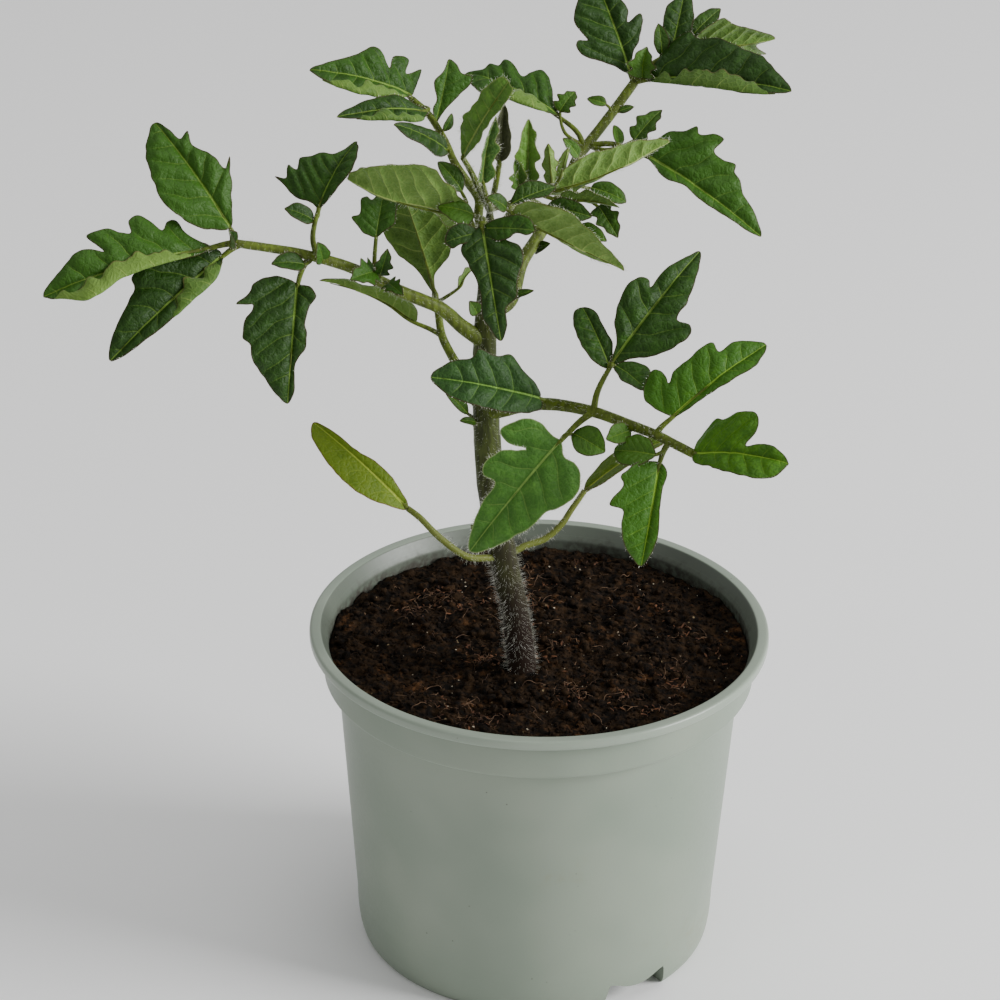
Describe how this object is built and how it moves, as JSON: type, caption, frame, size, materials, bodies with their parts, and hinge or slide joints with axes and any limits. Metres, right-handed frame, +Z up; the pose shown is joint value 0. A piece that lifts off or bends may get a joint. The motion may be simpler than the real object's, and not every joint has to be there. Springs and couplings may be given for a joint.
{
  "type": "potted tomato plant",
  "caption": "Young tomato plant with lobed compound leaves on a hairy stem, standing in dark potting soil in a round sage-green plastic nursery pot with a rolled lip",
  "frame": {"origin": "Middle of the flat underside of the pot, on the surface that the pot stands on", "axes": "+Z up along the plant's stem, +X to the right and +Y away from the viewer who faces the plant's front"},
  "size_m": [0.182, 0.1351, 0.2519],
  "materials": {
    "pot": "satin moulded plastic, sage green-grey",
    "soil": "dark peat potting mix with crumbs and reddish fibres",
    "stem": "olive green, purple-brown low down, with fine white hairs",
    "leaf": "dark green, quilted between fine pale veins, slightly hairy",
    "pale_leaf": "yellow-green leaf underside with raised veins",
    "seed_leaf": "smooth yellow-green with a brownish margin"
  },
  "bodies": {
    "root": {"pot": "pot", "soil": "soil", "stem": "stem", "seed_leaf_left": "seed_leaf", "seed_leaf_right": "seed_leaf", "leaf_front_right": "leaf", "leaf_left": "leaf", "leaf_back_left": "leaf", "leaf_front": "leaf", "leaf_pale_left": "pale_leaf", "leaf_pale_right": "pale_leaf", "leaf_pale_back": "pale_leaf", "leaf_back_right": "leaf", "leaf_upper_left": "leaf", "growing_tip": "leaf"}
  },
  "joints": []
}
